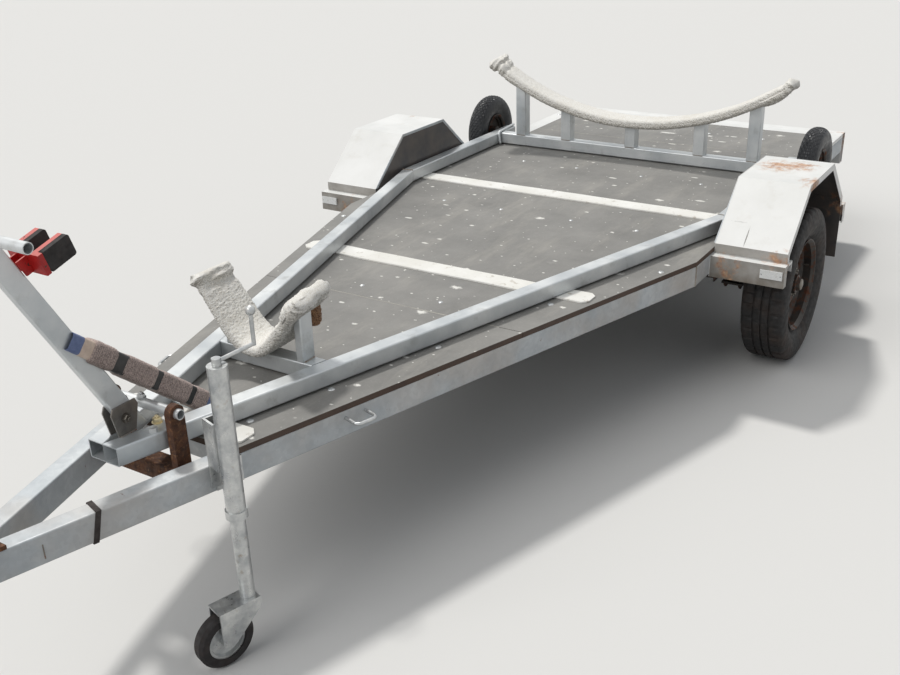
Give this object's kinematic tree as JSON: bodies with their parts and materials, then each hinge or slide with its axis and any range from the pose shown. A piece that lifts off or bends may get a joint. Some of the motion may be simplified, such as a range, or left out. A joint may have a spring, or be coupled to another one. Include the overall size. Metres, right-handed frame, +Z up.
{
  "type": "boat trailer with launching cradle",
  "caption": "Single-axle road trailer with a plywood deck that carries a wheeled launching cradle for a small boat, parked on its jockey wheel.",
  "frame": {"origin": "on the ground under the middle of the bounding box", "axes": "+Z up, the coupling points to -Y and the rear beam to +Y, +X is the side that carries the jockey wheel"},
  "size_m": [2.012, 4.7, 1.1683],
  "materials": {
    "aluminium": "mill finish aluminium",
    "black_steel": "black steel with surface rust",
    "blank_white": "blank white reflector",
    "board_grey": "weathered board",
    "carpet_cream": "cream marine carpet",
    "carpet_grey": "grey marine carpet",
    "formply": "black faced plywood, dusty",
    "galvanised": "weathered galvanised steel",
    "lamp_red": "red lamp lens",
    "red_paint": "red paint",
    "rubber_black": "black rubber",
    "rusty_steel": "bare steel, rusted",
    "strap_white": "white coated flat bar",
    "tyre_black": "black tyre rubber",
    "white_paint": "old white paint, worn",
    "zinc": "zinc plated"
  },
  "bodies": {
    "trailer": {"axle_beam": "black_steel", "bow_board": "board_grey", "bow_carpet": "carpet_cream", "bow_gussets": "aluminium", "bow_handle": "aluminium", "bow_post": "aluminium", "bow_posts": "aluminium", "bunk_board": "board_grey", "bunk_carpet": "carpet_cream", "bunk_posts": "aluminium", "clamp_bar": "aluminium", "clamp_lugs": "rusty_steel", "clamp_member": "rusty_steel", "coupling_head": "zinc", "coupling_lever": "zinc", "coupling_plate": "rusty_steel", "cradle_arm_left": "aluminium", "cradle_arm_right": "aluminium", "cradle_axles": "zinc", "cradle_cross_tubes": "aluminium", "cradle_sides": "aluminium", "cross_members": "galvanised", "deck_sheets": "formply", "deck_straps": "strap_white", "drawbar_left": "galvanised", "drawbar_right": "galvanised", "edge_bars": "white_paint", "guard_steps": "white_paint", "jockey_mount": "zinc", "leaf_springs": "black_steel", "mudguard_left": "white_paint", "mudguard_right": "white_paint", "rear_beam": "white_paint", "reflectors": "blank_white", "side_rails": "galvanised", "snubber_bracket": "red_paint", "snubber_pads": "rubber_black", "spring_hangers": "black_steel", "strut": "aluminium", "strut_carpet": "carpet_grey", "tail_lamps": "lamp_red", "tie_loops": "zinc"},
    "wheel_left": {"road_tyre_left": "tyre_black", "road_rim_left": "black_steel"},
    "wheel_right": {"road_tyre_right": "tyre_black", "road_rim_right": "black_steel"},
    "cradle_wheel_left": {"cradle_tyre_left": "tyre_black", "cradle_rim_left": "black_steel"},
    "cradle_wheel_right": {"cradle_tyre_right": "tyre_black", "cradle_rim_right": "black_steel"},
    "jockey_frame": {"jockey_bracket": "zinc", "jockey_tube": "zinc", "jockey_crank": "zinc"},
    "jockey_lift": {"jockey_leg": "zinc"},
    "jockey_caster": {"jockey_fork": "zinc"},
    "jockey_wheel": {"jockey_tyre": "rubber_black", "jockey_rim": "zinc"}
  },
  "joints": [
    {"name": "wheel_left_spin", "type": "hinge", "parent": "trailer", "child": "wheel_left", "pos_m": [-0.905, 0.823, 0.295], "axis": [1, 0, 0], "continuous": true},
    {"name": "wheel_right_spin", "type": "hinge", "parent": "trailer", "child": "wheel_right", "pos_m": [0.905, 0.823, 0.295], "axis": [1, 0, 0], "continuous": true},
    {"name": "cradle_wheel_left_spin", "type": "hinge", "parent": "trailer", "child": "cradle_wheel_left", "pos_m": [-0.8, 1.515, 0.561], "axis": [1, 0, 0], "continuous": true},
    {"name": "cradle_wheel_right_spin", "type": "hinge", "parent": "trailer", "child": "cradle_wheel_right", "pos_m": [0.8, 1.515, 0.561], "axis": [1, 0, 0], "continuous": true},
    {"name": "jockey_swing", "type": "hinge", "parent": "trailer", "child": "jockey_frame", "pos_m": [0.21204, -1.484, 0.487], "axis": [0.9573, -0.289, 0], "range_deg": [0, 90]},
    {"name": "jockey_lift", "type": "slide", "parent": "jockey_frame", "child": "jockey_lift", "axis": [0, 0, 1], "range_m": [-0.03, 0.224]},
    {"name": "jockey_swivel", "type": "hinge", "parent": "jockey_lift", "child": "jockey_caster", "pos_m": [0.27154, -1.52912, 0.3], "axis": [0, 0, 1], "continuous": true},
    {"name": "jockey_wheel_spin", "type": "hinge", "parent": "jockey_caster", "child": "jockey_wheel", "pos_m": [0.24899, -1.60379, 0.076], "axis": [0.9573, -0.289, 0], "continuous": true}
  ]
}
